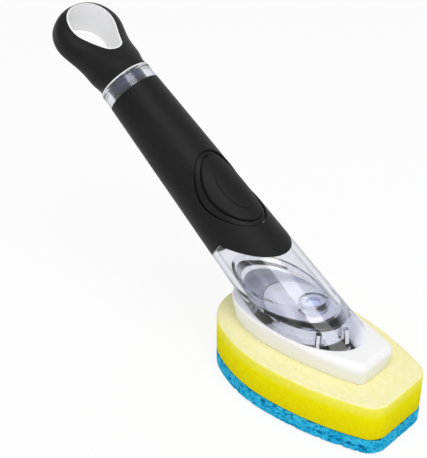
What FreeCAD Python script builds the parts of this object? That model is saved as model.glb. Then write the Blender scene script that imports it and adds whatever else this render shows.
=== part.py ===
import FreeCAD, Part
import math
import os
import re

import Sketcher

# A refillable dish wand: a clear soap handle with a soft black grip and a pump button,
# a pull-off hanging cap, and a snap-on sponge head.
# Frame: origin at the middle of the scrubbing face, +X to the squared tip of the head, +Z up.
# Along the handle, places are measured from the foot point, where its axis meets the plate top.

doc = FreeCAD.newDocument("dish_wand")
sheet = doc.addObject("Spreadsheet::Sheet", "Sizes")

sizes = {
    # sponge head, seen from above
    "head_length": 106.5,
    "head_width": 61.4,
    "head_back_reach": 45.8,
    "head_tip_width": 35.6,
    "head_corner": 10.5,
    "scrub_thickness": 8.2,
    "foam_thickness": 19.8,
    # white plate that carries the sponge
    "plate_tip_margin": 14.4,
    "plate_length": 85.3,
    "plate_width": 40.4,
    "plate_back_reach": 31.5,
    "plate_tip_width": 24.4,
    "plate_corner": 6.0,
    "plate_height": 11.5,
    "plate_lean": 2.0,
    "plate_round": 1.0,
    "plate_tip_round": 3.6,
    "plate_skin": 2.6,
    "port_radius": 2.2,
    "port_wall": 4.6,
    "gasket_inner": 3.7,
    "gasket_width": 1.4,
    "gasket_groove": 0.8,
    "gasket_gap": 0.1,
    # clear handle
    "handle_angle": 34.7,
    "foot_x": -8.5,
    "foot_radius": 19.2,
    "neck_radius": 13.5,
    "neck_height": 140.9,
    "neck_wall": 3.8,
    "neck_bore_length": 30.0,
    "bead_radius": 0.7,
    "bead_proud": 0.3,
    "band_width": 8.0,
    "reservoir_wall": 1.3,
    # black grip on the clear handle
    "grip_thickness": 1.6,
    "grip_round": 0.5,
    "grip_heel": 46.6,
    "grip_toe_height": 29.2,
    # foot under the seam, with the socket for the head
    "seam_height": 6.8,
    "spigot_height": 4.4,
    "spigot_wall": 1.3,
    "spigot_gap": 0.1,
    "socket_depth": 4.4,
    "socket_toe_wall": 12.0,
    "socket_side_wall": 4.2,
    "floor_thickness": 2.0,
    "seat_gap": 0.15,
    "socket_gap": 0.3,
    "peg_radius": 1.1,
    "peg_height": 4.2,
    "peg_forward": 19.8,
    "peg_inset": 5.4,
    "toe_peg_inset": 3.4,
    # slit valve in the foot's floor
    "valve_forward": 7.0,
    "valve_radius": 5.2,
    "valve_flange": 1.4,
    "valve_dome": 3.0,
    "valve_skin": 0.8,
    "valve_gap": 0.1,
    "valve_slit": 0.4,
    "retainer_height": 2.2,
    "retainer_bore": 3.4,
    "housing_wall": 1.6,
    # pump button
    "button_station": 65.1,
    "button_length": 44.0,
    "button_width": 28.0,
    "ring_width": 3.0,
    "ring_recess": 0.9,
    "ring_groove_width": 0.5,
    "ring_groove_depth": 0.4,
    "frame_skirt": 0.9,
    "frame_gap": 0.1,
    "pad_gap": 0.6,
    "pad_recess": 0.1,
    "pad_thickness": 2.1,
    "crown_length": 25.0,
    "crown_width": 12.0,
    "crown_rise": 0.4,
    "pad_round": 0.5,
    "diaphragm_thickness": 0.8,
    # hanging cap
    "cap_gap": 0.3,
    "seal_height": 0.5,
    "seal_width": 2.4,
    "seal_proud": 0.15,
    "seal_chamfer": 0.2,
    "loop_centre": 29.4,
    "loop_wall": 6.1,
    "loop_end_wall": 3.2,
    "loop_top": 7.6,
    "loop_bottom": 11.2,
    "hole_radius": 11.8,
    "hole_shift": 0.2,
    "hole_tilt": 15.4,
    "point_radius": 5.6,
    "point_reach": 13.2,
    "ramp_angle": 45.0,
    "ramp_top": 3.0,
    "liner_wall": 0.8,
    "plug_depth": 22.0,
    "plug_gap": 0.25,
    "plug_wall": 1.8,
    "stem_radius": 6.0,
    "stem_length": 9.0,
    "oring_radius": 1.0,
    "oring_pitch": 6.0,
    "oring_gap": 0.05,
    # small things that serve many pieces
    "bond_gap": 0.05,
    "overrun": 1.0,
}

# Shares that shape the outlines and the cap
back_round_share = 0.847
dome_tip_share = 0.55
cap_station_shares = (0.0, 0.2, 0.45, 0.72, 1.0)
cap_spread_shares = (0.0, 0.03, 0.2, 0.58, 1.0)
cap_flat_shares = (0.0, 0.1, 0.45, 0.84, 1.0)
cap_square_shares = (0.0, 0.1, 0.4, 0.8, 1.0)
cap_end_turn_shares = (0.25, 0.5, 0.7, 0.85, 0.96)
cap_end_width_share = 0.85
cap_end_top_share = 0.5
cap_end_bottom_share = 0.12
cap_squareness = 0.75
cap_section_points = 24
rim_samples = 9

for row, (alias, value) in enumerate(sizes.items(), start=1):
    sheet.set(f"A{row}", alias)
    sheet.set(f"B{row}", str(value))
    sheet.setAlias(f"B{row}", alias)
doc.recompute()


def size(alias):
    return float(sheet.get(alias))


def cells(formula):
    """A formula in plain size names, written for the spreadsheet."""
    return re.sub(r"[a-z_]+", lambda word: "Sizes." + word[0] if word[0] in sizes else word[0], formula)


def evaluate(formula):
    """The present value of a formula in size names."""
    value = sheet.evalExpression(cells(formula))
    return getattr(value, "Value", value)


def bind(thing, **formulas):
    for name, formula in formulas.items():
        thing.setExpression(name, cells(formula))
    return thing


# Formulas that several pieces share
taper = "((foot_radius - neck_radius) / neck_height)"
sine = "sin(handle_angle * 1 deg)"
cosine = "cos(handle_angle * 1 deg)"
slip = f"({taper} * {cosine} / {sine})"
foot_z = "(scrub_thickness + foam_thickness + plate_height)"
tail = "(-2 * foot_radius)"
far = "(2 * neck_height)"
grip_top = "(neck_height - band_width)"
bore_inset = "(grip_thickness + reservoir_wall)"
neck_bore = "(neck_radius - neck_wall)"
neck_top = "(neck_height - seal_height)"
# The foot's outline on the plate is the handle's cone cut level: an ellipse
oval_half = f"(foot_radius / (1 - {slip} * {slip}) / {sine})"
oval_side = f"(foot_radius / sqrt(1 - {slip} * {slip}))"
oval_x = f"(foot_x + {oval_half} * {slip})"
valve_x = "(foot_x + valve_forward)"
valve_pocket = "(valve_radius + valve_gap)"
valve_floor = f"({foot_z} + socket_depth + floor_thickness)"
valve_top = f"({valve_floor} + valve_flange + retainer_height)"
head_z = "(scrub_thickness + foam_thickness)"


def upright(x="0", y="0", z="0"):
    return f"placement(vector({x}; {y}; {z}); rotation(vector(0; 1; 0); 0))"


def on_handle(along, across, turn):
    x = f"foot_x - ({along}) * {cosine} + ({across}) * {sine}"
    z = f"{foot_z} + ({along}) * {sine} + ({across}) * {cosine}"
    return f"placement(vector({x}; 0; {z}); rotation(vector(0; 1; 0); {turn}))"


def on_axis(along="0", across="0"):
    """Local Z up the handle, local X towards the button."""
    return on_handle(along, across, "handle_angle - 90")


def facing(along="0", across="0"):
    """Local Z towards the button, local X down the handle."""
    return on_handle(along, across, "handle_angle")


def solid(kind, name, place, **formulas):
    return bind(doc.addObject(kind, name), Placement=place, **formulas)


def cylinder(name, place, radius, height):
    return solid("Part::Cylinder", name, place, Radius=radius, Height=height)


def cone(name, inset="0", start=tail, stop="neck_height"):
    """A length of the handle's tapered tube surface, moved inwards by the inset, its seam underneath."""
    return solid("Part::Cone", name, on_handle(stop, "0", "handle_angle + 90"), Height=f"{stop} - {start}",
                 Radius1=f"foot_radius - {taper} * {stop} - {inset}",
                 Radius2=f"foot_radius - {taper} * {start} - {inset}")


def slab(name, low, high):
    """A level layer of the whole space between two heights."""
    return solid("Part::Box", name, upright(f"-{far}", f"-{far}", low),
                 Length=f"2 * {far}", Width=f"2 * {far}", Height=f"{high} - ({low})")


def extrude(name, profile, length, back="0"):
    body = doc.addObject("Part::Extrusion", name)
    body.Base = profile
    body.DirMode = "Normal"
    body.Solid = True
    return bind(body, LengthFwd=length, LengthRev=back)


def oval(name, place, length, width, height):
    """An oval column, its length and width given in full."""
    profile = solid("Part::Ellipse", name + "_profile", place,
                    MajorRadius=f"({length}) / 2", MinorRadius=f"({width}) / 2")
    return extrude(name, profile, height)


def fuse(name, *shapes):
    joined = doc.addObject("Part::MultiFuse", name)
    joined.Shapes = list(shapes)
    return joined


def common(name, base, tool):
    shared = doc.addObject("Part::Common", name)
    shared.Base = base
    shared.Tool = tool
    return shared


def cut(name, base, *tools):
    left = doc.addObject("Part::Cut", name)
    left.Base = base
    left.Tool = tools[0] if len(tools) == 1 else fuse(name + "_tools", *tools)
    return left


def rounded(name, base, radius, wanted):
    """The base with every edge that the test wants rounded, by one radius or by a radius for each end."""
    doc.recompute()
    softened = doc.addObject("Part::Fillet", name)
    softened.Base = base
    chosen = []
    for number, edge in enumerate(base.Shape.Edges, start=1):
        if wanted(edge):
            ends = [edge.valueAt(edge.FirstParameter), edge.valueAt(edge.LastParameter)]
            chosen.append((number, *(radius(end) if callable(radius) else radius for end in ends)))
    softened.Edges = chosen
    return softened


def plane_of(body, role):
    return next(plane for plane in body.Origin.OriginFeatures if plane.Role == role)


def new_sketch(body, name, role="XY_Plane"):
    sketch = body.newObject("Sketcher::SketchObject", name)
    sketch.AttachmentSupport = [(plane_of(body, role), "")]
    sketch.MapMode = "FlatFace"
    return sketch


def measure(sketch, name, formula, *constraint):
    """A driving dimension of the sketch, bound to the sheet."""
    index = sketch.addConstraint(Sketcher.Constraint(*constraint))
    sketch.renameConstraint(index, name)
    sketch.setExpression("Constraints." + name, cells(formula))


def head_outline(sketch, outline):
    """Rounded back, gently bowed sides and a squared tip; the tip's middle is at the sketch's origin."""
    length, back_reach, corner = (evaluate(outline[name]) for name in ("length", "back_reach", "corner"))
    half, tip_half = evaluate(outline["width"]) / 2, evaluate(outline["tip_width"]) / 2
    front = length - back_reach
    side = (front ** 2 + (half - tip_half) ** 2) / (2 * (half - tip_half))
    back = back_round_share * half
    shoulder = (back_reach ** 2 + half ** 2 - 2 * back_reach * back) / (2 * (half - back))
    side_y, shoulder_y = half - side, half - shoulder
    corner_y = side_y + math.sqrt((side - corner) ** 2 - (front - corner) ** 2)
    back_x = back - length

    # turning points of the upper half
    to_corner = math.atan2(corner_y - side_y, front - corner)
    to_back = math.atan2(-shoulder_y, back_x + front)
    quarter = math.pi / 2
    up = FreeCAD.Vector(0, 0, 1)

    def arc(x, y, radius, first, last):
        circle = Part.Circle(FreeCAD.Vector(x, y, 0), up, radius)
        return Part.ArcOfCircle(circle, first, last)

    tip = Part.LineSegment(FreeCAD.Vector(0, -corner_y, 0), FreeCAD.Vector(0, corner_y, 0))
    pieces = [
        tip,
        arc(-corner, corner_y, corner, 0, to_corner),
        arc(-front, side_y, side, to_corner, quarter),
        arc(-front, shoulder_y, shoulder, quarter, to_back),
        arc(back_x, 0, back, to_back, 2 * math.pi - to_back),
        arc(-front, -shoulder_y, shoulder, 2 * math.pi - to_back, 3 * quarter),
        arc(-front, -side_y, side, 3 * quarter, 2 * math.pi - to_corner),
        arc(-corner, -corner_y, corner, 2 * math.pi - to_corner, 2 * math.pi),
    ]
    sketch.addGeometry(pieces, False)
    start, end, centre = 1, 2, 3
    for number in range(len(pieces)):
        follower = (number + 1) % len(pieces)
        sketch.addConstraint(Sketcher.Constraint("Tangent", number, end, follower, start))
    for upper, lower in ((1, 7), (2, 6), (3, 5)):
        sketch.addConstraint(Sketcher.Constraint("Equal", upper, lower))
    sketch.addConstraint(Sketcher.Constraint("PointOnObject", 0, start, -2))
    sketch.addConstraint(Sketcher.Constraint("PointOnObject", 0, end, -2))

    rear = outline["back_reach"]
    half_width = f"({outline['width']} / 2)"
    reach = f"({outline['length']} - {rear})"
    drop = f"({half_width} - {outline['tip_width']} / 2)"
    rounding = f"({back_round_share} * {half_width})"
    measure(sketch, "corner", outline["corner"], "Radius", 1, corner)
    measure(sketch, "side", f"({reach} * {reach} + {drop} * {drop}) / (2 * {drop})", "Radius", 2, side)
    measure(sketch, "shoulder",
            f"({rear} * {rear} + {half_width} * {half_width} - 2 * {rear} * {rounding})"
            f" / (2 * ({half_width} - {rounding}))", "Radius", 3, shoulder)
    measure(sketch, "back", rounding, "Radius", 4, back)
    measure(sketch, "widest", reach, "DistanceX", 2, end, -1, 1, front)
    measure(sketch, "half_width", half_width, "DistanceY", -1, 1, 2, end, half)
    measure(sketch, "side_centre", reach, "DistanceX", 2, centre, -1, 1, front)
    measure(sketch, "widest_low", reach, "DistanceX", 6, start, -1, 1, front)
    measure(sketch, "half_width_low", half_width, "DistanceY", 6, start, -1, 1, half)
    measure(sketch, "side_centre_low", reach, "DistanceX", 6, centre, -1, 1, front)


def pad_of(name, outline, x, z, height):
    """A slab with the head's outline."""
    body = doc.addObject("PartDesign::Body", name)
    sketch = new_sketch(body, name + "_outline")
    head_outline(sketch, outline)
    pad = body.newObject("PartDesign::Pad", name + "_pad")
    pad.Profile = sketch
    bind(pad, Length=height)
    return bind(body, Placement=upright(x, "0", z))


def turned(name, place, points):
    """A turned piece: a closed profile of (radius, height) formulas about its own upright axis."""
    profile = [(float(evaluate(radius)), float(evaluate(height))) for radius, height in points]
    body = doc.addObject("PartDesign::Body", name)
    sketch = new_sketch(body, name + "_profile", "XZ_Plane")
    corners = [FreeCAD.Vector(radius, height, 0) for radius, height in profile]
    for number, corner in enumerate(corners):
        sketch.addGeometry(Part.LineSegment(corner, corners[(number + 1) % len(corners)]), False)
    for number in range(len(corners)):
        follower = (number + 1) % len(corners)
        sketch.addConstraint(Sketcher.Constraint("Coincident", number, 2, follower, 1))
    for number, (radius, height) in enumerate(points):
        measure(sketch, f"radius_{number}", radius, "DistanceX", -1, 1, number, 1, profile[number][0])
        measure(sketch, f"height_{number}", height, "DistanceY", -1, 1, number, 1, profile[number][1])
    revolution = body.newObject("PartDesign::Revolution", name + "_turn")
    revolution.Profile = sketch
    revolution.ReferenceAxis = (sketch, ["V_Axis"])
    revolution.Angle = 360
    return bind(body, Placement=place)


# Places that the head and the foot share
plate_tip = "(head_length / 2 - plate_tip_margin)"
socket_length = f"(2 * ({oval_half} - socket_toe_wall))"
socket_width = f"(2 * ({oval_side} - socket_side_wall))"
socket_roof = f"({foot_z} + socket_depth)"
boss_top = f"({socket_roof} - socket_gap)"
peg_x = "(foot_x + peg_forward)"
peg_offset = f"(({peg_x} - {oval_x}) / {oval_half})"
peg_y = f"({oval_side} * sqrt(1 - {peg_offset} * {peg_offset}) - peg_inset)"
toe_peg_x = f"({oval_x} + {oval_half} - toe_peg_inset - peg_height * {cosine} / {sine})"
peg_places = ((peg_x, peg_y), (peg_x, f"-{peg_y}"), (toe_peg_x, "0"))


# Sponge head

pad_outline = {"length": "head_length", "width": "head_width", "back_reach": "head_back_reach",
               "tip_width": "head_tip_width", "corner": "head_corner"}
plate_outline = {"length": "plate_length", "width": "plate_width", "back_reach": "plate_back_reach",
                 "tip_width": "plate_tip_width", "corner": "plate_corner"}
plate_foot_outline = {"length": "(plate_length - 2 * plate_lean)",
                      "width": "(plate_width - 2 * plate_lean)",
                      "back_reach": "(plate_back_reach - plate_lean)",
                      "tip_width": "(plate_tip_width - 2 * plate_lean)",
                      "corner": "(plate_corner - plate_lean)"}


def make_scrub_pad():
    return pad_of("scrub_pad", pad_outline, "head_length / 2", "0", "scrub_thickness")


def make_foam_pad():
    return pad_of("foam_pad", pad_outline, "head_length / 2", "scrub_thickness", "foam_thickness")


def plate_edge(name, outline, x, z):
    sketch = doc.addObject("Sketcher::SketchObject", name)
    head_outline(sketch, outline)
    return bind(sketch, Placement=upright(x, "0", z))


def make_sponge_plate():
    """A hollow white tray whose walls lean outwards, with a boss and pegs for the foot's socket."""
    hull = doc.addObject("Part::Loft", "plate_hull")
    hull.Sections = [plate_edge("plate_lower_edge", plate_foot_outline, f"{plate_tip} - plate_lean", head_z),
                     plate_edge("plate_upper_edge", plate_outline, plate_tip, foot_z)]
    hull.Solid = True
    hull.Ruled = True
    top, tip_x = evaluate(foot_z), evaluate(plate_tip)
    fade_from, fade_to = tip_x - size("plate_corner") - size("plate_tip_round"), evaluate(oval_x)

    def on_top(edge):
        box = edge.BoundBox
        return abs(box.ZMin - top) < size("bond_gap") and box.ZLength < size("bond_gap")

    def radius_at(point):
        share = min(max((point.x - fade_to) / (fade_from - fade_to), 0), 1)
        return size("plate_round") + (size("plate_tip_round") - size("plate_round")) * share

    softened = rounded("plate_softened", hull, radius_at, on_top)
    boss = oval("plate_boss", upright(oval_x, "0", head_z), f"{socket_length} - 2 * socket_gap",
                f"{socket_width} - 2 * socket_gap", f"{boss_top} - {head_z}")
    pegs = [cylinder(f"plate_peg_{number}", upright(x, y, head_z), "peg_radius",
                     f"{foot_z} + peg_height - {head_z}")
            for number, (x, y) in enumerate(peg_places, start=1)]
    below = oval("plate_hollow_oval", upright(oval_x, "0", f"{head_z} - overrun"), socket_length,
                 socket_width, f"{foot_z} - plate_skin - {head_z} + overrun")
    column = cylinder("port_column", upright(valve_x, "0", f"{head_z} - 2 * overrun"),
                      "port_radius + port_wall", f"{foot_z} - {head_z} + 2 * overrun")
    hollow = cut("plate_hollow", below, column)
    port = cylinder("soap_port", upright(valve_x, "0", f"{head_z} - overrun"), "port_radius",
                    f"{boss_top} - {head_z} + 2 * overrun")
    groove_floor = f"{boss_top} - gasket_groove"
    groove = cut("gasket_groove_ring",
                 cylinder("groove_outer", upright(valve_x, "0", groove_floor),
                          "gasket_inner + gasket_width + bond_gap", "gasket_groove + overrun"),
                 cylinder("groove_inner", upright(valve_x, "0", f"{groove_floor} - overrun"),
                          "gasket_inner - bond_gap", "gasket_groove + 3 * overrun"))
    return cut("sponge_plate", fuse("plate_solid", softened, boss, *pegs), hollow, port, groove)


def make_port_gasket():
    height = "(gasket_groove + socket_gap - gasket_gap)"
    outer = "(gasket_inner + gasket_width)"
    place = upright(valve_x, "0", f"{boss_top} - gasket_groove")
    return turned("port_gasket", place, (("gasket_inner", "0"), (outer, "0"), (outer, height),
                                         ("gasket_inner", height)))


# Clear handle

def oval_column(name, length, width):
    """The button's oval, grown from the handle's axis out through the wall."""
    return oval(name, facing("button_station"), length, width, "2 * foot_radius")


def outer_rim(inset, length):
    """A test for the edges of the button's oval that lie on the tube's surface at the inset."""
    foot = FreeCAD.Vector(evaluate("foot_x"), 0, evaluate(foot_z))
    axis = FreeCAD.Vector(-evaluate(cosine), 0, evaluate(sine))
    slack = size("bond_gap")

    def on_rim(edge):
        for step in range(rim_samples):
            share = step / (rim_samples - 1)
            point = edge.valueAt(edge.FirstParameter + share * (edge.LastParameter - edge.FirstParameter))
            along = (point - foot).dot(axis)
            surface = size("foot_radius") - evaluate(taper) * along - evaluate(inset)
            off_axis = (point - foot - axis * along).Length
            beyond = abs(along - size("button_station")) - evaluate(length) / 2
            if abs(off_axis - surface) > slack or beyond > slack:
                return False
        return True

    return on_rim


pad_length = "(button_length - 2 * ring_width)"
pad_width = "(button_width - 2 * ring_width)"
well_growth = "(2 * pad_gap)"
window_growth = "(2 * pad_gap + 2 * frame_skirt + 2 * frame_gap)"


def make_grip_blank(name, gap):
    """The grip's sleeve without its button opening, drawn in all round by the gap.

    Its lower edge is level in front, with a square-cut heel behind."""
    top = f"({grip_top} - {gap})"
    sleeve = cut(name + "_tube", cone(name + "_outer", "0", tail, top),
                 cone(name + "_inner", f"(grip_thickness - {gap})", f"({tail} - overrun)",
                      f"({top} + overrun)"))
    below = slab(name + "_below_toe", f"-{far}", f"{foot_z} + grip_toe_height + {gap}")
    before = cylinder(name + "_before_heel", on_axis(f"-{far}"), "4 * foot_radius",
                      f"{far} + grip_heel + {gap}")
    return cut(name, sleeve, common(name + "_below_edge", below, before))


def make_reservoir():
    bead = solid("Part::Torus", "neck_bead", on_axis(f"{neck_top} - bead_radius"),
                 Radius1="neck_radius - bead_radius + bead_proud", Radius2="bead_radius")
    tube = fuse("tube_blank", cone("tube_outer", "0", tail, neck_top), bead)
    bore_top = "(neck_height - neck_bore_length)"
    return cut("reservoir_body", tube, make_grip_blank("grip_seat", "0"),
               slab("below_seam", f"-{far}", f"{foot_z} + seam_height + bond_gap"),
               cone("soap_bore", bore_inset, tail, bore_top),
               cylinder("neck_bore_column", on_axis(f"{bore_top} - overrun"), neck_bore,
                        "neck_bore_length + 2 * overrun"),
               oval_column("pump_window", f"{pad_length} + {window_growth}",
                           f"{pad_width} + {window_growth}"))


def make_grip_sleeve():
    """The sleeve with the button's opening, its outer edge softened."""
    opened = cut("grip_opened", make_grip_blank("grip_blank", "bond_gap"),
                 oval_column("grip_opening", "button_length", "button_width"))
    return rounded("grip_sleeve", opened, size("grip_round"), outer_rim("0", "button_length"))


def make_foot_base():
    seam = f"({foot_z} + seam_height)"
    spigot_top = f"({seam} + spigot_height)"
    skirt = common("foot_skirt", cone("skirt_outer"),
                   slab("skirt_layer", f"{foot_z} + seat_gap", seam))
    spigot = common("foot_spigot", cone("spigot_outer", f"({bore_inset} + spigot_gap)"),
                    slab("spigot_layer", socket_roof, spigot_top))
    room = common("spigot_room", cone("spigot_inner", f"({bore_inset} + spigot_gap + spigot_wall)"),
                  slab("room_layer", valve_floor, f"{spigot_top} + overrun"))
    housing = cylinder("valve_housing", upright(valve_x, "0", socket_roof),
                       f"{valve_pocket} + housing_wall", f"{valve_top} - {socket_roof}")
    socket = oval("head_socket", upright(oval_x, "0", f"{foot_z} - overrun"), socket_length,
                  socket_width, "socket_depth + overrun")
    outlet = cylinder("soap_outlet", upright(valve_x, "0", foot_z), "valve_dome + valve_gap",
                      f"{valve_floor} - {foot_z} + overrun")
    pocket = cylinder("valve_pocket", upright(valve_x, "0", valve_floor), valve_pocket,
                      f"{valve_top} - {valve_floor} + overrun")
    holes = [cylinder(f"peg_hole_{number}", upright(x, y, f"{foot_z} - overrun"),
                      "peg_radius + socket_gap", "peg_height + socket_gap + overrun")
             for number, (x, y) in enumerate(peg_places, start=1)]
    return cut("foot_base", fuse("foot_solid", skirt, spigot), cut("spigot_hollow", room, housing),
               socket, outlet, pocket, *holes)


# Slit valve

def make_slit_valve():
    rise = "floor_thickness"
    top = "(floor_thickness + valve_flange)"
    tip = f"({dome_tip_share} * valve_dome)"
    cup = turned("valve_cup", upright(valve_x, "0", f"{valve_floor} - floor_thickness"),
                 (("0", "0"), (tip, "0"), ("valve_dome", rise), ("valve_radius", rise),
                  ("valve_radius", top), ("(valve_dome - valve_skin)", top),
                  (f"({tip} - {dome_tip_share} * valve_skin)", "valve_skin"), ("0", "valve_skin")))
    slit = solid("Part::Box", "valve_slit_cut",
                 upright(f"{valve_x} - valve_slit / 2", f"-{tip}",
                         f"{valve_floor} - floor_thickness - overrun"),
                 Length="valve_slit", Width=f"2 * {tip}", Height="valve_skin + 2 * overrun")
    return cut("slit_valve", cup, slit)


def make_valve_retainer():
    outer = f"({valve_pocket} - bond_gap)"
    return turned("valve_retainer", upright(valve_x, "0", f"{valve_floor} + valve_flange"),
                  (("retainer_bore", "0"), (outer, "0"), (outer, "retainer_height"),
                   ("retainer_bore", "retainer_height")))


# Pump button

def shell(name, outer_inset, inner_inset):
    """A layer that follows the handle's tube, between two insets from its surface."""
    return cut(name, cone(name + "_outer", outer_inset),
               cone(name + "_inner", inner_inset, f"({tail} - overrun)", "(neck_height + overrun)"))


pad_floor = "(pad_recess + pad_thickness)"


def make_pump_frame():
    """The ring round the pad, with a narrow groove outside it and a skirt through the tube's window."""
    groove_floor = "(ring_recess + ring_groove_depth)"
    flange = common("frame_flange", shell("flange_layer", groove_floor, "(grip_thickness - bond_gap)"),
                    oval_column("flange_oval", "button_length - 2 * frame_gap",
                                "button_width - 2 * frame_gap"))
    ring = common("frame_ring", shell("ring_layer", "ring_recess", "(grip_thickness - bond_gap)"),
                  oval_column("ring_oval", "button_length - 2 * ring_groove_width",
                              "button_width - 2 * ring_groove_width"))
    skirt_growth = "(2 * pad_gap + 2 * frame_skirt)"
    skirt = common("frame_skirt_wall", shell("skirt_wall_layer", "ring_recess", bore_inset),
                   oval_column("skirt_oval", f"{pad_length} + {skirt_growth}",
                               f"{pad_width} + {skirt_growth}"))
    well = oval_column("pad_well", f"{pad_length} + {well_growth}", f"{pad_width} + {well_growth}")
    return cut("pump_frame", fuse("frame_solid", flange, ring, skirt), well)


def make_pump_pad():
    """An oval pad that follows the tube, softened round its edge, with a raised oval in its middle."""
    blank = common("pad_blank", shell("pad_layer", "pad_recess", pad_floor),
                   oval_column("pad_oval", pad_length, pad_width))
    crown = common("pad_crown", shell("crown_layer", "(pad_recess - crown_rise)", pad_floor),
                   oval_column("crown_oval", "crown_length", "crown_width"))
    softened = rounded("pad_softened", blank, size("pad_round"), outer_rim("pad_recess", pad_length))
    return fuse("pump_pad", softened, crown)


def make_pump_diaphragm():
    roof = f"({pad_floor} + frame_gap)"
    layer = shell("diaphragm_layer", roof, f"({roof} + diaphragm_thickness)")
    inner = f"({well_growth} - 2 * bond_gap)"
    return common("pump_diaphragm", layer, oval_column("diaphragm_oval", f"{pad_length} + {inner}",
                                                       f"{pad_width} + {inner}"))


# Hanging cap

cap_foot = "(neck_height + cap_gap)"
loop_half = "(hole_radius + liner_wall + loop_wall)"
loop_end = "(hole_radius + liner_wall + loop_end_wall)"


def make_cap_envelope():
    """The cap's outside: a round foot that spreads and flattens into the loop, with a round end."""
    neck, half, centre = size("neck_radius"), evaluate(loop_half), size("loop_centre")
    end, above, below = evaluate(loop_end), size("loop_top"), size("loop_bottom")
    stations = []
    for station, spread, flat, square in zip(cap_station_shares, cap_spread_shares, cap_flat_shares,
                                             cap_square_shares):
        stations.append((station * centre, neck + (half - neck) * spread, neck + (above - neck) * flat,
                         neck + (below - neck) * flat, square))
    for share in cap_end_turn_shares:
        turn = share * math.pi / 2
        left = math.cos(turn)
        stations.append((centre + end * math.sin(turn), half * left ** cap_end_width_share,
                         above * left ** cap_end_top_share, below * left ** cap_end_bottom_share, 1.0))

    def section(height, width, upper, lower, square):
        power = 2 / (2 + cap_squareness * square)
        points = []
        for step in range(cap_section_points):
            angle = 2 * math.pi * step / cap_section_points
            across, along = math.cos(angle), math.sin(angle)
            depth = upper * across ** power if across > 0 else -lower * abs(across) ** power
            points.append(FreeCAD.Vector(depth, math.copysign(abs(along) ** power, along) * width, height))
        curve = Part.BSplineCurve()
        curve.interpolate(points, PeriodicFlag=True)
        return Part.Wire([curve.toShape()])

    envelope = doc.addObject("Part::Feature", "cap_envelope")
    envelope.Shape = Part.makeLoft([section(*station) for station in stations], True, False)
    return bind(envelope, Placement=on_axis(cap_foot))


def on_hole(height, forward="0", lean="0"):
    """A place by the hole's axis, which leans to the free end: a height up it and a step to the handle.

    Local Z leans further to the free end by the angle given."""
    tilt_sine, tilt_cosine = "sin(hole_tilt * 1 deg)", "cos(hole_tilt * 1 deg)"
    along = f"{cap_foot} + loop_centre + hole_shift + ({height}) * {tilt_sine} - ({forward}) * {tilt_cosine}"
    across = f"({height}) * {tilt_cosine} + ({forward}) * {tilt_sine}"
    return on_handle(along, across, f"handle_angle - hole_tilt - {lean}")


def teardrop(name, growth):
    """An outline across the hole: round towards the free end, a blunt point towards the handle."""
    sketch = doc.addObject("Sketcher::SketchObject", name)
    big, small = evaluate(f"hole_radius + {growth}"), evaluate(f"point_radius + {growth}")
    reach = size("point_reach")
    lean = math.acos((big - small) / reach)
    up = FreeCAD.Vector(0, 0, 1)
    origin, point = FreeCAD.Vector(0, 0, 0), FreeCAD.Vector(reach, 0, 0)
    side = FreeCAD.Vector(math.cos(lean), math.sin(lean), 0)
    mirrored = FreeCAD.Vector(side.x, -side.y, 0)
    sketch.addGeometry([
        Part.ArcOfCircle(Part.Circle(origin, up, big), lean, 2 * math.pi - lean),
        Part.LineSegment(mirrored * big, point + mirrored * small),
        Part.ArcOfCircle(Part.Circle(point, up, small), -lean, lean),
        Part.LineSegment(point + side * small, side * big),
    ], False)
    for number in range(4):
        sketch.addConstraint(Sketcher.Constraint("Tangent", number, 2, (number + 1) % 4, 1))
    sketch.addConstraint(Sketcher.Constraint("Coincident", 0, 3, -1, 1))
    sketch.addConstraint(Sketcher.Constraint("PointOnObject", 2, 3, -1))
    measure(sketch, "round_end", f"hole_radius + {growth}", "Radius", 0, big)
    measure(sketch, "point_end", f"point_radius + {growth}", "Radius", 2, small)
    measure(sketch, "reach", "point_reach", "DistanceX", -1, 1, 2, 3, reach)
    return bind(sketch, Placement=on_hole("0"))


def hole_column(name, growth):
    """The room of the hole, grown all round: a round bore, and a point over a ramp that falls into it."""
    deep = "2 * (neck_radius + overrun)"
    bore = cylinder(name + "_bore", on_hole(f"-{deep}"), f"hole_radius + {growth}", f"2 * {deep}")
    drop = extrude(name + "_drop", teardrop(name + "_outline", growth), deep, deep)
    low = f"ramp_top - ({growth}) / cos(ramp_angle * 1 deg)"
    ramp = cylinder(name + "_ramp", on_hole(low, "point_reach + point_radius", "ramp_angle"), far, far)
    return fuse(name, bore, common(name + "_point", drop, ramp))


def make_loop_liner(envelope):
    ring = cut("liner_ring", hole_column("liner_body", "liner_wall - bond_gap"),
               hole_column("loop_hole", "0"))
    return common("loop_liner", ring, envelope)


def make_cap_shell(envelope):
    socket = cylinder("stem_socket", on_axis(f"{cap_foot} - overrun"), "stem_radius + bond_gap",
                      "stem_length + bond_gap + overrun")
    return cut("cap_shell", envelope, hole_column("liner_seat", "liner_wall"), socket)


plug_radius = f"({neck_bore} - plug_gap)"
groove_base = f"({neck_bore} - 2 * oring_radius - oring_gap)"
oring_places = ("(plug_depth - oring_pitch)", "(plug_depth - 2 * oring_pitch)")


def make_cap_plug():
    """A hollow plug for the neck, with two ring grooves and a stem that holds the cap's shell."""
    foot = "(plug_depth + cap_gap)"
    core = f"({groove_base} - plug_wall)"
    profile = [(core, "0"), (plug_radius, "0")]
    for place in reversed(oring_places):
        low, high = f"({place} - oring_radius - bond_gap)", f"({place} + oring_radius + bond_gap)"
        profile += [(plug_radius, low), (groove_base, low), (groove_base, high), (plug_radius, high)]
    stem_top, core_top = f"({foot} + stem_length)", "(plug_depth - plug_wall)"
    profile += [(plug_radius, foot), ("stem_radius", foot), ("stem_radius", stem_top), ("0", stem_top),
                ("0", core_top), (core, core_top)]
    return turned("cap_plug", on_axis("neck_height - plug_depth"), profile)


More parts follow.
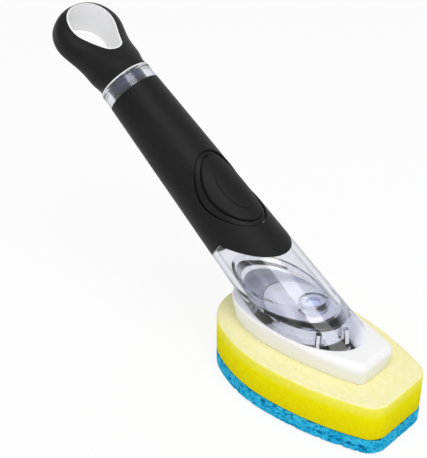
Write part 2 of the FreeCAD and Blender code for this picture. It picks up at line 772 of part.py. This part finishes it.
def make_cap_seal():
    """A white ring that closes the joint between the neck and the cap."""
    outer, height = "(neck_radius + seal_proud)", "(seal_height + cap_gap - 2 * bond_gap)"
    inner, edge = f"({outer} - seal_width)", f"({outer} - seal_chamfer)"
    return turned("cap_seal", on_axis(f"{neck_top} + bond_gap"),
                  ((inner, "0"), (edge, "0"), (outer, "seal_chamfer"), (outer, f"({height} - seal_chamfer)"),
                   (edge, height), (inner, height)))


def make_plug_orings():
    rings = []
    for number, place in enumerate(oring_places, start=1):
        rings.append(solid("Part::Torus", f"oring_{number}", on_axis(f"neck_height - plug_depth + {place}"),
                           Radius1=f"{groove_base} + oring_radius", Radius2="oring_radius"))
    group = doc.addObject("Part::Compound", "plug_orings")
    group.Links = rings
    return group


def check(things):
    doc.recompute()
    for thing in doc.Objects:
        bad = [word for word in thing.State if word in ("Invalid", "Error")]
        if bad:
            raise RuntimeError(f"{thing.Label}: {bad}")
    for node, thing in things.items():
        if thing.Shape.isNull() or not thing.Shape.isValid() or not thing.Shape.Solids:
            raise RuntimeError(f"{node}: its solid is not valid")


cap_envelope = make_cap_envelope()
nodes = [
    make_scrub_pad(), make_foam_pad(), make_sponge_plate(), make_port_gasket(),
    make_reservoir(), make_foot_base(), make_grip_sleeve(),
    make_slit_valve(), make_valve_retainer(),
    make_pump_frame(), make_pump_pad(), make_pump_diaphragm(),
    make_cap_shell(cap_envelope), make_loop_liner(cap_envelope), make_cap_plug(), make_plug_orings(),
    make_cap_seal(),
]
named = {node.Label: node for node in nodes}
check(named)

os.makedirs("parts", exist_ok=True)
for label, node in named.items():
    node.Shape.exportStep(f"parts/{label}.step")
    box = node.Shape.optimalBoundingBox(True, False)
    spans = " x ".join(f"{span:.1f}" for span in (box.XLength, box.YLength, box.ZLength))
    print(f"{label}: {len(node.Shape.Solids)} solids, {spans} mm")
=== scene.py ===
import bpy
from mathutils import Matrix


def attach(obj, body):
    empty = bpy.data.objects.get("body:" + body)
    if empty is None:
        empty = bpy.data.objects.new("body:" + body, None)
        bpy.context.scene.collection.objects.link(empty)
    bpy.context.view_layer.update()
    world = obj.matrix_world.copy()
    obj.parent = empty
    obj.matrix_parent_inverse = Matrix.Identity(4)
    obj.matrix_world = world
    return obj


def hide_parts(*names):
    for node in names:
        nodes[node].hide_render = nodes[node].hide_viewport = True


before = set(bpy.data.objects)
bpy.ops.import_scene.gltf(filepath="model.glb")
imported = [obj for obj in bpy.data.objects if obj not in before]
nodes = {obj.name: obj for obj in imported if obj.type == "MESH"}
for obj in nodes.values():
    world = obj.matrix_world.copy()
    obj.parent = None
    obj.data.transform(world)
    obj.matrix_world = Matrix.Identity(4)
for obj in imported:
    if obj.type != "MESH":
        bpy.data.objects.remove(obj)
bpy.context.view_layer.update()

import math

import bmesh
import bpy
from mathutils import Vector

scene = bpy.context.scene
print("frame loaded:", len(nodes), "nodes")


# small helpers for node trees

def addNode(tree, kind, inputs=None, **settings):
    made = tree.nodes.new(kind)
    for name, value in settings.items():
        setattr(made, name, value)
    for name, value in (inputs or {}).items():
        made.inputs[name].default_value = value
    return made


def join(tree, source, target):
    tree.links.new(source, target)


def startMaterial(name, constants):
    material = bpy.data.materials.new(name)
    material.use_nodes = True
    tree = material.node_tree
    shader = tree.nodes["Principled BSDF"]
    for socket, value in constants.items():
        shader.inputs[socket].default_value = value
    place = addNode(tree, "ShaderNodeTexCoord").outputs["Object"]
    return material, tree, shader, place


def noiseAt(tree, place, scale, detail=3.0, rough=0.55):
    noise = addNode(tree, "ShaderNodeTexNoise", {"Scale": scale, "Detail": detail, "Roughness": rough})
    join(tree, place, noise.inputs["Vector"])
    return noise.outputs["Fac"]


def spread(tree, value, low, high, limits=(0.3, 0.7)):
    # the stretch of value between the limits runs from low to high
    made = addNode(tree, "ShaderNodeMapRange", {"From Min": limits[0], "From Max": limits[1],
                                                "To Min": low, "To Max": high})
    join(tree, value, made.inputs["Value"])
    return made.outputs["Result"]


def blendColour(tree, amount, first, second, kind="MIX"):
    made = addNode(tree, "ShaderNodeMix", data_type="RGBA", blend_type=kind)
    # inputs 6 and 7 and output 2 are this node's colour sockets
    for socket, colour in ((made.inputs[6], first), (made.inputs[7], second)):
        if isinstance(colour, tuple):
            socket.default_value = (*colour, 1.0)
        else:
            join(tree, colour, socket)
    join(tree, amount, made.inputs[0])
    return made.outputs[2]


def bumpFrom(tree, height, strength, distance):
    made = addNode(tree, "ShaderNodeBump", {"Strength": strength, "Distance": distance})
    join(tree, height, made.inputs["Height"])
    return made.outputs["Normal"]


# moulded finishes: colours, noise scales, grain depth in metres, and the shader's fixed sockets

softBlack = {
    "dark": (0.0060, 0.0060, 0.0066), "light": (0.0095, 0.0095, 0.0103), "cloud": 45.0,
    "roughLow": 0.44, "roughHigh": 0.56, "grain": 2600.0, "grainStrength": 0.35, "grainDepth": 0.00003,
    "shader": {"Specular IOR Level": 0.13, "Sheen Weight": 0.02, "Sheen Roughness": 0.5},
}
frameBlack = dict(softBlack, roughLow=0.36, roughHigh=0.46, shader={"Specular IOR Level": 0.13})
whitePlastic = {
    "dark": (0.86, 0.86, 0.87), "light": (0.90, 0.90, 0.905), "cloud": 30.0,
    "roughLow": 0.30, "roughHigh": 0.38, "grain": 1900.0, "grainStrength": 0.35, "grainDepth": 0.00001,
    "shader": {"Specular IOR Level": 0.4},
}
plugPlastic = {
    "dark": (0.005, 0.010, 0.034), "light": (0.012, 0.021, 0.058), "cloud": 60.0,
    "roughLow": 0.32, "roughHigh": 0.42, "grain": 2200.0, "grainStrength": 0.35, "grainDepth": 0.00002,
    "shader": {"Specular IOR Level": 0.4},
}
sealRubber = {
    "dark": (0.010, 0.010, 0.012), "light": (0.016, 0.016, 0.018), "cloud": 90.0,
    "roughLow": 0.45, "roughHigh": 0.6, "grain": 3000.0, "grainStrength": 0.35, "grainDepth": 0.00002,
    "shader": {"Specular IOR Level": 0.3},
}
valveSilicone = {
    "dark": (0.55, 0.64, 0.86), "light": (0.66, 0.73, 0.92), "cloud": 150.0,
    "roughLow": 0.28, "roughHigh": 0.4, "grain": 2600.0, "grainStrength": 0.35, "grainDepth": 0.00001,
    "shader": {"Subsurface Weight": 0.3, "Subsurface Scale": 0.002},
}
ringPlastic = {
    "dark": (0.40, 0.42, 0.53), "light": (0.46, 0.48, 0.59), "cloud": 120.0,
    "roughLow": 0.25, "roughHigh": 0.35, "grain": 2400.0, "grainStrength": 0.35, "grainDepth": 0.00001,
    "shader": {"Specular IOR Level": 0.4},
}


def moulded(name, look):
    # clouded colour, drifting gloss and a fine grain
    material, tree, shader, place = startMaterial(name, look["shader"])
    cloud = noiseAt(tree, place, look["cloud"])
    colour = blendColour(tree, spread(tree, cloud, 0.0, 1.0), look["dark"], look["light"])
    join(tree, colour, shader.inputs["Base Color"])
    join(tree, spread(tree, cloud, look["roughLow"], look["roughHigh"]), shader.inputs["Roughness"])
    grain = noiseAt(tree, place, look["grain"], detail=2.0)
    bump = bumpFrom(tree, grain, look["grainStrength"], look["grainDepth"])
    join(tree, bump, shader.inputs["Normal"])
    return material


gripFinish = moulded("soft black", softBlack)
frameFinish = moulded("black frame", frameBlack)
whiteFinish = moulded("white moulding", whitePlastic)
plugFinish = moulded("plug moulding", plugPlastic)
sealFinish = moulded("seal rubber", sealRubber)
valveFinish = moulded("valve silicone", valveSilicone)
ringFinish = moulded("ring moulding", ringPlastic)


# clear finishes: tints, flow marks, and what the wall itself takes from the light

clearPlastic = {
    "tint": (0.985, 0.986, 0.997), "deep": (0.955, 0.958, 0.985), "roughLow": 0.012, "roughHigh": 0.03,
    # the edge colour is painted shade for walls seen edge-on
    "edgeShadeColour": (0.13, 0.135, 0.2), "edgeShadeFacing": (0.57, 0.85),
    "flow": 55.0, "flowStrength": 0.2, "flowDepth": 0.00005,
    "passed": (0.96, 0.962, 0.98), "wallColour": (0.54, 0.555, 0.68), "wallDensity": 52.0,
    "shader": {"Transmission Weight": 1.0, "IOR": 1.46},
}
clearFoot = dict(clearPlastic, wallColour=(0.53, 0.545, 0.67), wallDensity=95.0)


def clearMoulding(name, look):
    # faint flow marks bend what is seen through the wall
    material, tree, shader, place = startMaterial(name, look["shader"])
    flow = noiseAt(tree, place, look["flow"], detail=2.0)
    body = blendColour(tree, spread(tree, flow, 0.0, 1.0), look["tint"], look["deep"])
    # painted shade: a wall seen edge-on is darkened in its colour
    facing = addNode(tree, "ShaderNodeLayerWeight", {"Blend": 0.5}).outputs["Facing"]
    edgeShadeAmount = spread(tree, facing, 0.0, 1.0, look["edgeShadeFacing"])
    join(tree, blendColour(tree, edgeShadeAmount, body, look["edgeShadeColour"]), shader.inputs["Base Color"])
    join(tree, spread(tree, flow, look["roughLow"], look["roughHigh"]), shader.inputs["Roughness"])
    bump = bumpFrom(tree, flow, look["flowStrength"], look["flowDepth"])
    join(tree, bump, shader.inputs["Normal"])
    # lamps shine through the wall to what is inside
    through = addNode(tree, "ShaderNodeBsdfTransparent", {"Color": (*look["passed"], 1.0)})
    choice = addNode(tree, "ShaderNodeMixShader")
    join(tree, addNode(tree, "ShaderNodeLightPath").outputs["Is Shadow Ray"], choice.inputs[0])
    join(tree, shader.outputs[0], choice.inputs[1])
    join(tree, through.outputs[0], choice.inputs[2])
    output = tree.nodes["Material Output"]
    join(tree, choice.outputs[0], output.inputs["Surface"])
    # thick walls take more of the light
    depth = addNode(tree, "ShaderNodeVolumeAbsorption", {"Color": (*look["wallColour"], 1.0),
                                                         "Density": look["wallDensity"]})
    join(tree, depth.outputs[0], output.inputs["Volume"])
    return material


clearFinish = clearMoulding("clear moulding", clearPlastic)
footFinish = clearMoulding("clear foot", clearFoot)

finishes = {
    "grip_sleeve": gripFinish, "cap_shell": gripFinish, "pump_pad": gripFinish,
    "pump_frame": frameFinish,
    "sponge_plate": whiteFinish, "loop_liner": whiteFinish, "cap_seal": whiteFinish,
    "cap_plug": plugFinish,
    "plug_orings": sealFinish, "pump_diaphragm": sealFinish,
    "slit_valve": valveFinish, "port_gasket": valveFinish,
    "valve_retainer": ringFinish,
    "reservoir_body": clearFinish,
    "foot_base": footFinish,
}
for nodeName, finish in finishes.items():
    nodes[nodeName].data.materials.clear()
    nodes[nodeName].data.materials.append(finish)
print("moulded finishes on", len(finishes), "nodes")


# sponge layers: Geometry Nodes press the pores into an even skin

poreInputs = {  # the tree's inputs and the entries of a layer's dictionary that fill them
    "Pore Spacing": "poreSpacing", "Pore Depth": "poreDepth",
    "Fine Spacing": "finePoreSpacing", "Fine Depth": "finePoreDepth",
    "Warp": "warp", "Swell": "swell", "Swell Size": "swellSize",
    "Least Pore": "leastPore", "Most Pore": "mostPore", "Stretch": "stretch", "Seed": "seed",
}
poreForm = {"floorShare": 0.45, "fineShade": 0.75}  # flat part of a pore, painted shade of the fine ones


def poreTree(form):
    tree = bpy.data.node_groups.new("sponge pores", "GeometryNodeTree")
    sockets = tree.interface
    sockets.new_socket("Geometry", in_out="INPUT", socket_type="NodeSocketGeometry")
    for name in poreInputs:
        sockets.new_socket(name, in_out="INPUT", socket_type="NodeSocketFloat")
    sockets.new_socket("Material", in_out="INPUT", socket_type="NodeSocketMaterial")
    sockets.new_socket("Geometry", in_out="OUTPUT", socket_type="NodeSocketGeometry")
    given = addNode(tree, "NodeGroupInput").outputs
    final = addNode(tree, "NodeGroupOutput")

    def maths(operation, first, second):
        made = addNode(tree, "ShaderNodeMath", operation=operation)
        for socket, value in zip(made.inputs, (first, second)):
            if isinstance(value, float):
                socket.default_value = value
            else:
                join(tree, value, socket)
        return made.outputs[0]

    def vectors(operation, first, second):
        made = addNode(tree, "ShaderNodeVectorMath", operation=operation)
        join(tree, first, made.inputs[0])
        join(tree, second, made.inputs["Scale" if operation == "SCALE" else 1])
        return made.outputs[0]

    def noise(at, step):
        made = addNode(tree, "ShaderNodeTexNoise", {"Detail": 2.0})
        join(tree, at, made.inputs["Vector"])
        join(tree, maths("DIVIDE", 1.0, step), made.inputs["Scale"])
        return made.outputs

    # the seed slides the pattern, and a noise bends it
    shift = addNode(tree, "ShaderNodeCombineXYZ")
    for axis in "XYZ":
        join(tree, given["Seed"], shift.inputs[axis])
    position = addNode(tree, "GeometryNodeInputPosition").outputs[0]
    normal = addNode(tree, "GeometryNodeInputNormal").outputs[0]
    where = vectors("ADD", position, shift.outputs[0])
    middle = addNode(tree, "ShaderNodeCombineXYZ", {"X": 0.5, "Y": 0.5, "Z": 0.5}).outputs[0]
    wander = vectors("SUBTRACT", noise(where, given["Pore Spacing"])["Color"], middle)
    wandered = vectors("ADD", where, vectors("SCALE", wander, given["Warp"]))
    flatten = addNode(tree, "ShaderNodeCombineXYZ", {"X": 1.0, "Y": 1.0})
    join(tree, given["Stretch"], flatten.inputs["Z"])
    warped = vectors("MULTIPLY", wandered, flatten.outputs[0])

    def poresAt(spacing):
        # each cell holds one round hole of its own size
        cell = addNode(tree, "ShaderNodeTexVoronoi")
        join(tree, warped, cell.inputs["Vector"])
        join(tree, maths("DIVIDE", 1.0, spacing), cell.inputs["Scale"])
        luck = addNode(tree, "ShaderNodeSeparateXYZ")
        join(tree, cell.outputs["Color"], luck.inputs[0])
        room = maths("SUBTRACT", given["Most Pore"], given["Least Pore"])
        radius = maths("ADD", given["Least Pore"], maths("MULTIPLY", room, luck.outputs[0]))
        hole = addNode(tree, "ShaderNodeMapRange", interpolation_type="SMOOTHSTEP")
        join(tree, cell.outputs["Distance"], hole.inputs["Value"])
        join(tree, radius, hole.inputs["From Min"])
        join(tree, maths("MULTIPLY", radius, form["floorShare"]), hole.inputs["From Max"])
        return hole.outputs["Result"]

    large = poresAt(given["Pore Spacing"])
    fine = poresAt(given["Fine Spacing"])
    largeDepth = maths("MULTIPLY", large, given["Pore Depth"])
    fineDepth = maths("MULTIPLY", fine, given["Fine Depth"])
    roll = maths("MULTIPLY", noise(where, given["Swell Size"])["Fac"], given["Swell"])
    inward = maths("MULTIPLY", maths("ADD", maths("ADD", largeDepth, fineDepth), roll), -1.0)

    def store(geometry, name, value):
        made = addNode(tree, "GeometryNodeStoreNamedAttribute", {"Name": name},
                       data_type="FLOAT", domain="POINT")
        join(tree, geometry, made.inputs["Geometry"])
        join(tree, value, made.inputs["Value"])
        return made.outputs["Geometry"]

    # the materials read where the pores are, for painted shade in them, and which way the skin faces, for
    # painted light on the top
    shade = maths("MAXIMUM", large, maths("MULTIPLY", fine, form["fineShade"]))
    facing = addNode(tree, "ShaderNodeSeparateXYZ")
    join(tree, normal, facing.inputs[0])
    marked = store(store(given["Geometry"], "pore", shade), "skin", facing.outputs["Z"])

    moved = addNode(tree, "GeometryNodeSetPosition")
    join(tree, marked, moved.inputs["Geometry"])
    join(tree, vectors("SCALE", normal, inward), moved.inputs["Offset"])
    real = addNode(tree, "GeometryNodeRealizeInstances")
    join(tree, moved.outputs["Geometry"], real.inputs["Geometry"])
    painted = addNode(tree, "GeometryNodeSetMaterial")
    join(tree, real.outputs["Geometry"], painted.inputs["Geometry"])
    join(tree, given["Material"], painted.inputs["Material"])
    join(tree, painted.outputs["Geometry"], final.inputs["Geometry"])
    return tree


def bakeModifiers(piece):
    depsgraph = bpy.context.evaluated_depsgraph_get()
    mesh = bpy.data.meshes.new_from_object(piece.evaluated_get(depsgraph))
    piece.modifiers.clear()
    piece.data = mesh


blockMaking = {"mergeGap": 0.000005, "flatAngle": 0.002, "rimAngle": 1.2, "rimSteps": 3}  # metres, radians


def softBlock(mesh, rim):
    # merges the node's loose triangles and rounds the rims
    block = bmesh.new()
    block.from_mesh(mesh)
    bmesh.ops.remove_doubles(block, verts=block.verts, dist=blockMaking["mergeGap"])
    bmesh.ops.dissolve_limit(block, angle_limit=blockMaking["flatAngle"],
                             verts=block.verts, edges=block.edges)
    rims = [edge for edge in block.edges
            if len(edge.link_faces) == 2 and edge.calc_face_angle() > blockMaking["rimAngle"]]
    bmesh.ops.bevel(block, geom=rims, offset=rim, segments=blockMaking["rimSteps"], profile=0.5,
                    affect="EDGES", clamp_overlap=True)
    bmesh.ops.triangulate(block, faces=block.faces)
    block.to_mesh(mesh)
    block.free()


def spongeLayer(pieceName, nodeName, look, tree, material):
    # the layer's own block: softened rims, even skin, then its pores
    mesh = nodes[nodeName].data.copy()
    if "custom_normal" in mesh.attributes:
        mesh.attributes.remove(mesh.attributes["custom_normal"])
    softBlock(mesh, look["rim"])
    piece = bpy.data.objects.new(pieceName, mesh)
    scene.collection.objects.link(piece)
    remesh = piece.modifiers.new("even skin", "REMESH")
    remesh.mode = "VOXEL"
    remesh.voxel_size = look["voxel"]
    bakeModifiers(piece)
    pores = piece.modifiers.new("pores", "NODES")
    pores.node_group = tree
    for item in tree.interface.items_tree:
        if item.name in poreInputs:
            pores[item.identifier] = look[poreInputs[item.name]]
        elif item.name == "Material":
            pores[item.identifier] = material
    bakeModifiers(piece)
    piece.data.polygons.foreach_set("use_smooth", [True] * len(piece.data.polygons))
    print(pieceName, len(piece.data.polygons), "faces")
    return piece


def readAttribute(tree, name):
    return addNode(tree, "ShaderNodeAttribute", attribute_name=name).outputs["Fac"]


def cellsAt(tree, place, scale):
    cells = addNode(tree, "ShaderNodeTexVoronoi", {"Scale": scale}, feature="F1")
    join(tree, place, cells.inputs["Vector"])
    return cells.outputs["Distance"]


foamLook = {
    # shape, in metres; pore sizes are shares of their spacing
    "rim": 0.0011, "voxel": 0.0006, "seed": 3.1, "stretch": 1.0,
    "poreSpacing": 0.0042, "poreDepth": 0.00035, "finePoreSpacing": 0.0019, "finePoreDepth": 0.00012,
    "leastPore": 0.08, "mostPore": 0.2, "warp": 0.0007, "swell": 0.00025, "swellSize": 0.014,
    # colours from low to high on the side, and where they change: painted shade darkens the side toward
    # the bottom, a painted highlight lightens it near the rim, and painted light makes the top paler
    "shadedLowColour": (0.72, 0.62, 0.0), "sideColour": (0.84, 0.78, 0.0), "sideHeights": (0.008, 0.022),
    "rimHighlightColour": (0.88, 0.83, 0.13), "rimHighlightHeights": (0.021, 0.0278),
    "litTopColour": (0.91, 0.87, 0.52), "topFacing": (0.35, 0.9),
    "mottle": 420.0, "mottleShare": 0.22, "mottleRange": (0.35, 0.7),
    # painted shade darkens the pores
    "poreShadeColour": (0.62, 0.54, 0.03), "poreShadeShare": 0.3, "poreShadeRange": (0.2, 1.0),
    "cells": 1500.0, "cellStrength": 0.5, "cellDepth": 0.0002,
    "shader": {"Roughness": 0.85, "Specular IOR Level": 0.04, "Subsurface Weight": 0.15,
               "Subsurface Scale": 0.002, "Subsurface Radius": (1.0, 0.8, 0.1)},
}


def foamMaterial(look):
    material, tree, shader, place = startMaterial("yellow foam", look["shader"])
    split = addNode(tree, "ShaderNodeSeparateXYZ")
    join(tree, place, split.inputs[0])
    height = split.outputs["Z"]
    # painted shade: the side darkens toward the bottom
    risen = spread(tree, height, 0.0, 1.0, look["sideHeights"])
    side = blendColour(tree, risen, look["shadedLowColour"], look["sideColour"])
    # painted highlight: the side lightens near the rounded rim
    rimHighlightAmount = spread(tree, height, 0.0, 1.0, look["rimHighlightHeights"])
    withRimHighlight = blendColour(tree, rimHighlightAmount, side, look["rimHighlightColour"])
    # painted light: faces that look up are paler
    topLightAmount = spread(tree, readAttribute(tree, "skin"), 0.0, 1.0, look["topFacing"])
    withTopLight = blendColour(tree, topLightAmount, withRimHighlight, look["litTopColour"])
    cells = cellsAt(tree, place, look["cells"])
    mottle = noiseAt(tree, place, look["mottle"])
    inMottle = spread(tree, mottle, 0.0, look["mottleShare"], look["mottleRange"])
    mottled = blendColour(tree, inMottle, withTopLight, side, "MULTIPLY")
    # painted shade in the pores
    shadeInPores = spread(tree, readAttribute(tree, "pore"), 0.0, look["poreShadeShare"], look["poreShadeRange"])
    join(tree, blendColour(tree, shadeInPores, mottled, look["poreShadeColour"]), shader.inputs["Base Color"])
    join(tree, bumpFrom(tree, cells, look["cellStrength"], look["cellDepth"]), shader.inputs["Normal"])
    return material


scrubLook = {
    # shape, in metres; pore sizes are shares of their spacing
    "rim": 0.0008, "voxel": 0.00043, "seed": 7.7, "stretch": 1.7,
    "poreSpacing": 0.0046, "poreDepth": 0.0016, "finePoreSpacing": 0.0020, "finePoreDepth": 0.0006,
    "leastPore": 0.16, "mostPore": 0.5, "warp": 0.0022, "swell": 0.0002, "swellSize": 0.01,
    # clouded blue, with painted shade in the pits and the pores, and streaks of crowded pores in the same
    # painted shade
    "midColour": (0.004, 0.38, 0.68), "lightColour": (0.05, 0.55, 0.84),
    "cloud": 260.0, "cloudRange": (0.35, 0.65), "pitShadeShare": 0.55, "pitShadeRange": (0.12, 0.4),
    "streak": 380.0, "streakDetail": 4.0, "streakRough": 0.65, "streakFlat": (1.0, 1.0, 2.2),
    "streakShare": 0.62, "streakRange": (0.52, 0.62),
    "poreShadeColour": (0.001, 0.19, 0.42), "poreShadeShare": 0.92, "poreShadeRange": (0.1, 0.75),
    "cells": 950.0, "cellStrength": 0.6, "cellDepth": 0.00035,
    "shader": {"Roughness": 0.8, "Specular IOR Level": 0.08, "Subsurface Weight": 0.1,
               "Subsurface Scale": 0.002, "Subsurface Radius": (0.1, 0.5, 1.0)},
}


def scrubMaterial(look):
    material, tree, shader, place = startMaterial("blue cellulose", look["shader"])
    cloud = spread(tree, noiseAt(tree, place, look["cloud"]), 0.0, 1.0, look["cloudRange"])
    clouded = blendColour(tree, cloud, look["midColour"], look["lightColour"])
    cells = cellsAt(tree, place, look["cells"])
    # painted shade in the pits of the cell bump
    shadeInPits = spread(tree, cells, look["pitShadeShare"], 0.0, look["pitShadeRange"])
    withPitShade = blendColour(tree, shadeInPits, clouded, look["midColour"])
    flat = addNode(tree, "ShaderNodeVectorMath", {1: look["streakFlat"]}, operation="MULTIPLY")
    join(tree, place, flat.inputs[0])
    streaks = noiseAt(tree, flat.outputs[0], look["streak"], look["streakDetail"], look["streakRough"])
    inStreak = spread(tree, streaks, 0.0, look["streakShare"], look["streakRange"])
    # streaks of crowded pores, in the painted pore shade
    streaked = blendColour(tree, inStreak, withPitShade, look["poreShadeColour"])
    # painted shade in the pores
    shadeInPores = spread(tree, readAttribute(tree, "pore"), 0.0, look["poreShadeShare"], look["poreShadeRange"])
    join(tree, blendColour(tree, shadeInPores, streaked, look["poreShadeColour"]), shader.inputs["Base Color"])
    join(tree, bumpFrom(tree, cells, look["cellStrength"], look["cellDepth"]), shader.inputs["Normal"])
    return material


spongePores = poreTree(poreForm)
foamPiece = spongeLayer("foam_layer", "foam_pad", foamLook, spongePores, foamMaterial(foamLook))
scrubPiece = spongeLayer("scrub_layer", "scrub_pad", scrubLook, spongePores, scrubMaterial(scrubLook))
for piece, nodeName, slotName in ((foamPiece, "foam_pad", "foam"), (scrubPiece, "scrub_pad", "scrub")):
    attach(piece, "head")
    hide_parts(nodeName)
print("sponge layers done")


# floor, lights and camera

studio = {
    "floorZ": -0.0006, "floorSize": 6.0, "floorWhite": (0.96, 0.96, 0.96), "shadowShare": 0.15,
    "plainWhite": (1.0, 1.0, 1.0), "worldLight": 0.6, "aim": (-0.04, 0.0, 0.05),
    "keyPower": 4.5, "keyPlace": (0.32, -0.22, 0.92), "keySize": 0.7,
    "fillPower": 0.8, "fillPlace": (0.25, -0.82, 0.24), "fillSize": 0.6,
}


def seenRays(tree):
    # camera, mirror and see-through rays find plain white
    path = addNode(tree, "ShaderNodeLightPath")
    seen = path.outputs["Is Camera Ray"]
    for name in ("Is Glossy Ray", "Is Transmission Ray"):
        made = addNode(tree, "ShaderNodeMath", operation="MAXIMUM")
        join(tree, seen, made.inputs[0])
        join(tree, path.outputs[name], made.inputs[1])
        seen = made.outputs[0]
    return seen


def makeFloor(look):
    half = look["floorSize"] / 2
    low = look["floorZ"]
    mesh = bpy.data.meshes.new("floor")
    corners = [(-half, -half, low), (half, -half, low), (half, half, low), (-half, half, low)]
    mesh.from_pydata(corners, [], [(0, 1, 2, 3)])
    floor = bpy.data.objects.new("floor", mesh)
    scene.collection.objects.link(floor)
    material = bpy.data.materials.new("pale floor")
    material.use_nodes = True
    tree = material.node_tree
    tree.nodes.clear()
    output = addNode(tree, "ShaderNodeOutputMaterial")
    matte = addNode(tree, "ShaderNodeBsdfDiffuse", {"Color": (*look["floorWhite"], 1.0)})
    glow = addNode(tree, "ShaderNodeEmission", {"Color": (*look["plainWhite"], 1.0), "Strength": 1.0})
    shown = addNode(tree, "ShaderNodeMixShader", {0: look["shadowShare"]})
    join(tree, glow.outputs[0], shown.inputs[1])
    join(tree, matte.outputs[0], shown.inputs[2])
    choice = addNode(tree, "ShaderNodeMixShader")
    join(tree, seenRays(tree), choice.inputs[0])
    join(tree, matte.outputs[0], choice.inputs[1])
    join(tree, shown.outputs[0], choice.inputs[2])
    join(tree, choice.outputs[0], output.inputs["Surface"])
    mesh.materials.append(material)


def makeWorld(look):
    world = bpy.data.worlds.new("studio")
    world.use_nodes = True
    tree = world.node_tree
    tree.nodes.clear()
    output = addNode(tree, "ShaderNodeOutputWorld")
    white = (*look["plainWhite"], 1.0)
    light = addNode(tree, "ShaderNodeBackground", {"Color": white, "Strength": look["worldLight"]})
    seen = addNode(tree, "ShaderNodeBackground", {"Color": white, "Strength": 1.0})
    choice = addNode(tree, "ShaderNodeMixShader")
    join(tree, seenRays(tree), choice.inputs[0])
    join(tree, light.outputs[0], choice.inputs[1])
    join(tree, seen.outputs[0], choice.inputs[2])
    join(tree, choice.outputs[0], output.inputs["Surface"])
    scene.world = world


def makeLamp(name, place, size, power, target):
    lamp = bpy.data.lights.new(name, "AREA")
    lamp.shape = "DISK"
    lamp.size = size
    lamp.energy = power
    holder = bpy.data.objects.new(name, lamp)
    holder.location = place
    aim = Vector(target) - Vector(place)
    holder.rotation_euler = aim.to_track_quat("-Z", "Y").to_euler()
    scene.collection.objects.link(holder)


view = {  # degrees, and the lens in pixels of the picture's longer side
    "place": (0.27344, -0.3561, 0.4002), "down": 34.69, "turn": 43.55,
    "focalPixels": 1227.2, "imageHeight": 458, "sensor": 36.0, "clipStart": 0.01,
}


def makeCamera(look):
    camera = bpy.data.cameras.new("camera")
    camera.sensor_width = look["sensor"]
    camera.lens = look["focalPixels"] * look["sensor"] / look["imageHeight"]
    camera.clip_start = look["clipStart"]
    holder = bpy.data.objects.new("camera", camera)
    holder.location = look["place"]
    holder.rotation_euler = (math.radians(90.0 - look["down"]), 0.0, math.radians(look["turn"]))
    scene.collection.objects.link(holder)
    scene.camera = holder


makeFloor(studio)
makeWorld(studio)
makeLamp("key", studio["keyPlace"], studio["keySize"], studio["keyPower"], studio["aim"])
makeLamp("fill", studio["fillPlace"], studio["fillSize"], studio["fillPower"], studio["aim"])
makeCamera(view)
scene.view_settings.view_transform = "Standard"
print("stage set")
